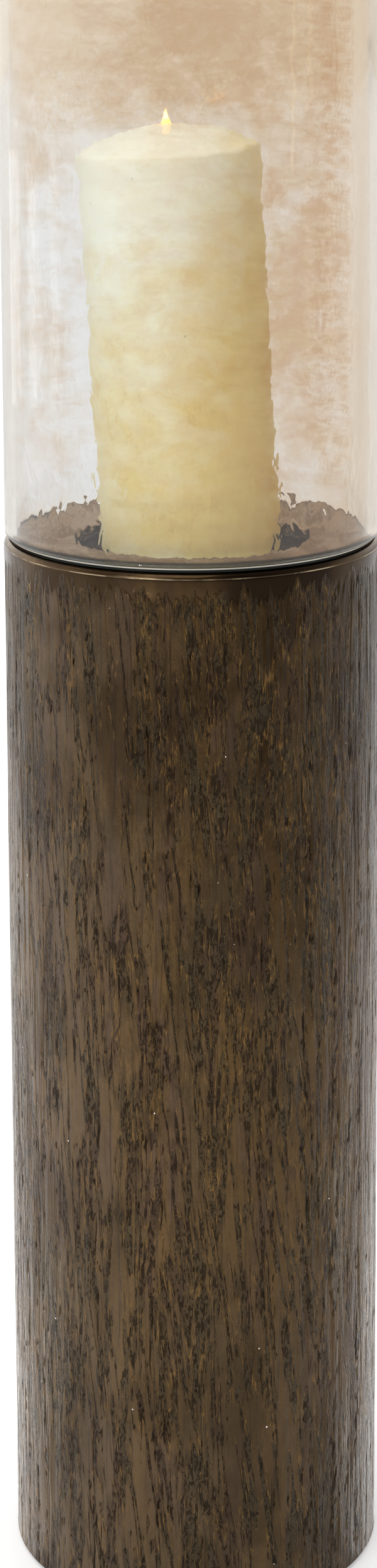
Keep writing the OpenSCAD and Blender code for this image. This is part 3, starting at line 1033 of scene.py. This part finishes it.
class LANTERN_OT_candle(bpy.types.Operator):
    """Candle: leaning wax body with a rounded, slumped rim, a crowned top and faint rings"""

    bl_idname = "lantern.candle"
    bl_label = "Candle"

    def execute(self, context):
        s = context.scene.lantern_candle
        radius, height, rim_z = self.section(s)
        grid_a, grid_z = np.meshgrid(around(CANDLE_COLS), height)
        share = np.clip(radius / CANDLE_R, 0, 1)[:, None]
        left = np.clip(-np.cos(grid_a - 0.15), 0, 1) ** 1.5
        rng = np.random.default_rng(23)
        top = s.height
        swell = lattice_noise(rng, grid_z, grid_a, 5, 5, 0, top)
        ring = lattice_noise(rng, grid_z, grid_a, 40, 3, 0, top)
        lump = lattice_noise(rng, grid_z, grid_a, 30, 22, 0, top)
        hollow = 0.40 * (swell + 1) + 0.16 * (ring + 1) + 0.12 * (lump + 1)
        waist = 0.5 * np.exp(-(((grid_z - 0.40 * top) / (0.22 * top)) ** 2))
        neck = 0.8 * np.exp(-(((grid_z - 0.875 * top) / (0.022 * top)) ** 2))
        neck = neck * np.clip(-np.cos(grid_a), 0, 1)
        body = smooth(0, 4 * MM, grid_z)
        grid_r = radius[:, None] - MM * (hollow + waist + neck) * body * share**2
        upper = smooth(rim_z - 12 * MM, rim_z + 2 * MM, grid_z)
        grid_r = grid_r - 0.7 * MM * left * upper * share
        notch = lattice_noise(rng, grid_z, grid_a, 1, 26, 0, top)
        fold = lattice_noise(rng, grid_z, grid_a, 1, 9, 0, top)
        crumple = lattice_noise(rng, radius[:, None] + 0 * grid_z, grid_a, 7, 13, 0, CANDLE_R)
        edge = np.exp(-(((share - 0.93) / 0.16) ** 2))
        drop = 0.7 * (notch + 1) * edge + 0.7 * (fold + 1) * edge
        drop = drop + 0.9 * left * share + 0.5 * (crumple + 1) * share
        drop = drop * MM * smooth(rim_z - 4 * MM, rim_z + 3 * MM, grid_z)
        points = candle_place(turned(grid_r, grid_z - drop, CANDLE_COLS), s)
        foot = (0.0, 0.0, CANDLE_FOOT)
        crest = tuple(candle_place(np.array([0.0, 0.0, s.height]), s))
        piece = grid_mesh("candle_wax", points, cap_low=foot, cap_high=crest)
        piece.data.materials.append(wax_material(s))
        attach(piece, "candle")
        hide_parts("candle")
        return {"FINISHED"}

    @staticmethod
    def section(s):
        """Radii and heights of the upright candle from the middle of its foot to its crown, and the height
        at which its rim begins: an arc of the rim's radius runs into an arc of a much larger one."""
        edge_r = CANDLE_R - s.rim * (1 - math.sin(s.slope))
        crown_r = edge_r / math.sin(s.slope)
        rim_z = s.height - crown_r * (1 - math.cos(s.slope)) - s.rim * math.cos(s.slope)
        wall_z = np.linspace(FOOT_BEVEL, rim_z, CANDLE_WALL_ROWS)
        turn = np.linspace(0, math.pi / 2 - s.slope, CANDLE_RIM_ROWS + 1)[1:]
        crown_at = edge_r * np.linspace(1, 0.02, CANDLE_CROWN_ROWS + 1)[1:]
        foot_at = [0.3 * CANDLE_R, 0.7 * CANDLE_R, CANDLE_R - FOOT_BEVEL, CANDLE_R - 0.2 * MM]
        rim_at = CANDLE_R - s.rim * (1 - np.cos(turn))
        radius = np.concatenate((foot_at, np.full(len(wall_z), CANDLE_R), rim_at, crown_at))
        crown_z = s.height - crown_r + np.sqrt(crown_r**2 - crown_at**2)
        height = np.concatenate(([0, 0, 0, 0.3 * MM], wall_z, rim_z + s.rim * np.sin(turn), crown_z))
        return radius, height, rim_z


# The flame's grid, how far it stands left of the wick and leans on, and how deep it is in the crown
FLAME_COLS = 32
FLAME_ROWS = 28
FLAME_LEFT = 0.5 * MM
FLAME_LEAN = 0.8 * MM
FLAME_SINK = 0.6 * MM


class LANTERN_OT_flame(bpy.types.Operator):
    """Wick and flame"""

    bl_idname = "lantern.flame"
    bl_label = "Flame"

    def execute(self, context):
        s = context.scene.lantern_candle
        dress("wick", plain_material("charred cotton", *CHAR, 900, 0.9, bump=0.3))
        up = np.linspace(0, 1, FLAME_ROWS + 2)[1:-1]
        radius = 0.5 * s.flame_width * np.minimum(1, (up / 0.12) ** 0.5)
        radius = radius * (1 - smooth(0.05, 1.25, up)) ** 0.9 * (1 - up) ** 0.35
        crest = candle_place(np.array([0.0, 0.0, s.height]), s)
        base_x = crest[0] - FLAME_LEFT
        base_z = crest[2] - FLAME_SINK
        points = turned(radius, base_z + up * s.flame_height, FLAME_COLS)
        points[..., 0] += base_x - FLAME_LEAN * (up**2)[:, None]
        low_cap = (base_x, 0.0, base_z)
        high_cap = (base_x - FLAME_LEAN, 0.0, base_z + s.flame_height)
        piece = grid_mesh("flame", points, cap_low=low_cap, cap_high=high_cap)
        piece.data.materials.append(flame_material(s))
        piece.visible_shadow = False
        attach(piece, "candle")
        return {"FINISHED"}


def strip_lamp(name, size, place, aim, power):
    """A soft rectangular lamp at a place, turned to face a point."""
    data = bpy.data.lights.new(name, "AREA")
    data.shape = "RECTANGLE"
    data.size, data.size_y = size
    data.energy = power
    lamp = bpy.data.objects.new(name, data)
    facing = (Vector(aim) - Vector(place)).to_track_quat("-Z", "Y")
    lamp.matrix_world = Matrix.Translation(place) @ facing.to_matrix().to_4x4()
    bpy.context.scene.collection.objects.link(lamp)


def paper_material():
    """White floor: takes the lantern's shadow, and is lifted to white for camera, mirror and glass rays.
    Mirror rays also see painted light on it, brightest close behind the lantern, to the left and right."""
    material, nodes, shader, output = new_material("white paper")
    nodes.feed(shader, Base_Color=(0.86, 0.86, 0.86, 1), Roughness=0.7)
    place = object_coords(nodes)
    side, back, _ = nodes.axes(place)
    reach = nodes.vector_math("LENGTH", place, output="Value")
    beside = nodes.larger(abs(side) - 0.09, 0.01)
    turn = (back + 0.05) / beside
    # Painted light: a pool that only mirror and glass rays see.
    painted_pool = reach.step(2.2, 0.4, 0.0, 0.56) + reach.step(0.7, 0.2, 0.0, 0.34)
    painted_pool = turn.step(0.58, 0.95) * painted_pool
    path = nodes.values("ShaderNodeLightPath")
    bent = nodes.larger(path["Is Glossy Ray"], path["Is Transmission Ray"])
    strength = path["Is Camera Ray"] * 0.30 + (painted_pool + 0.22) * bent
    lift = nodes.read(0, "ShaderNodeEmission", {"Strength": strength})
    total = nodes.read(0, "ShaderNodeAddShader", {0: shader.outputs[0], 1: lift})
    nodes.put(total, output.inputs[0])
    return material


# Windows at the left: the direction of each in degrees from the camera's, its width and their shared
# distance, height and watts for each metre of width
WINDOWS = ((-88, 0.16), (-108, 0.22), (-132, 0.22))
WINDOW_REACH = 1.5
WINDOW_HEIGHT = 0.56
WINDOW_POWER = 0.5

FLOOR_REACH = 12.0


class LANTERN_OT_stage(bpy.types.Operator):
    """Stage: white floor, pale world that is dimmer towards the front, soft lamps and the camera"""

    bl_idname = "lantern.stage"
    bl_label = "Stage"

    def execute(self, context):
        self.floor()
        self.world(context.scene)
        for turn, width in WINDOWS:
            side = WINDOW_REACH * math.sin(math.radians(turn))
            back = -WINDOW_REACH * math.cos(math.radians(turn))
            place = (side, back, WINDOW_HEIGHT)
            strip_lamp("left_window", (width, 0.26), place, (0, 0, 0.70), WINDOW_POWER * width)
        strip_lamp("low_strip", (0.012, 0.06), (-0.454, -0.891, 0.20), (0, 0, 0.25), 0.3)
        strip_lamp("overhead", (1.2, 1.2), (-0.3, -1.0, 2.3), (0, 0, 0.65), 8)
        strip_lamp("key", (1.0, 0.8), (-1.3, -2.0, 1.75), (0, 0, 0.60), 11.5)
        self.camera(context.scene, context.scene.lantern_stage)
        return {"FINISHED"}

    @staticmethod
    def floor():
        """A large flat square on the floor's level."""
        mesh = bpy.data.meshes.new("floor")
        corners = [(x * FLOOR_REACH, y * FLOOR_REACH, 0) for x, y in ((-1, -1), (1, -1), (1, 1), (-1, 1))]
        mesh.from_pydata(corners, [], [(0, 1, 2, 3)])
        mesh.materials.append(paper_material())
        floor = bpy.data.objects.new("floor", mesh)
        bpy.context.scene.collection.objects.link(floor)

    @staticmethod
    def world(scene):
        """White behind the lantern and to its sides, grey in front, pure white where the camera looks."""
        world = bpy.data.worlds.new("pale studio")
        scene.world = world
        world.use_nodes = True
        world.node_tree.nodes.clear()
        nodes = Nodes(world.node_tree)
        side, back, height = nodes.axes(nodes.read("Generated", "ShaderNodeTexCoord"))
        light = back.step(-0.85, 0.20, 0.24, 1.0) * side.step(-0.9, 0.9, 1.25, 0.80)
        band = height.step(0.08, 0.14) * height.step(0.50, 0.40)
        light = light + band * 0.5
        path = nodes.values("ShaderNodeLightPath")
        seen = nodes.larger(path["Is Camera Ray"], path["Is Transmission Ray"])
        level = nodes.read(0, "ShaderNodeMix", {0: seen, 2: light, 3: 1.0})
        tint = nodes.mix(path["Is Glossy Ray"], (1.0, 1.0, 1.0), (1.0, 0.95, 0.87))
        backdrop = nodes.read(0, "ShaderNodeBackground", {"Color": tint, "Strength": level})
        nodes.add("ShaderNodeOutputWorld", {0: backdrop})

    @staticmethod
    def camera(scene, s):
        """Camera in front of the lantern, above its middle, tilted down and rolled a little."""
        data = bpy.data.cameras.new("camera")
        data.lens = s.lens
        data.sensor_width = 36
        data.sensor_fit = "AUTO"
        data.shift_x = s.shift_x
        data.shift_y = s.shift_y
        data.clip_end = 60
        camera = bpy.data.objects.new("camera", data)
        turn = Matrix.Rotation(math.pi / 2 - s.tilt, 4, "X") @ Matrix.Rotation(s.roll, 4, "Z")
        camera.matrix_world = Matrix.Translation((0, -s.distance, s.height)) @ turn
        scene.collection.objects.link(camera)
        scene.camera = camera
        scene.view_settings.view_transform = "Standard"


class LANTERN_PT_panel(bpy.types.Panel):
    """Lists the lantern's pieces"""

    bl_idname = "LANTERN_PT_panel"
    bl_label = "Lantern"
    bl_space_type = "VIEW_3D"
    bl_region_type = "UI"
    bl_category = "Lantern"

    def draw(self, context):
        for operator in OPERATORS:
            self.layout.operator(operator.bl_idname)


SETTINGS = {
    "lantern_column": ColumnSettings,
    "lantern_glass": GlassSettings,
    "lantern_candle": CandleSettings,
    "lantern_stage": StageSettings,
}
OPERATORS = (
    LANTERN_OT_stage,
    LANTERN_OT_column,
    LANTERN_OT_metalwork,
    LANTERN_OT_glass,
    LANTERN_OT_candle,
    LANTERN_OT_flame,
)


def register():
    for cls in (*SETTINGS.values(), *OPERATORS, LANTERN_PT_panel):
        bpy.utils.register_class(cls)
    for name, settings in SETTINGS.items():
        setattr(bpy.types.Scene, name, PointerProperty(type=settings))


def unregister():
    for name in SETTINGS:
        delattr(bpy.types.Scene, name)
    for cls in (LANTERN_PT_panel, *reversed(OPERATORS), *SETTINGS.values()):
        bpy.utils.unregister_class(cls)


def main():
    register()
    bpy.ops.lantern.stage()
    bpy.ops.lantern.column()
    bpy.ops.lantern.metalwork()
    bpy.ops.lantern.glass()
    bpy.ops.lantern.candle()
    bpy.ops.lantern.flame()


if __name__ == "__main__":
    main()
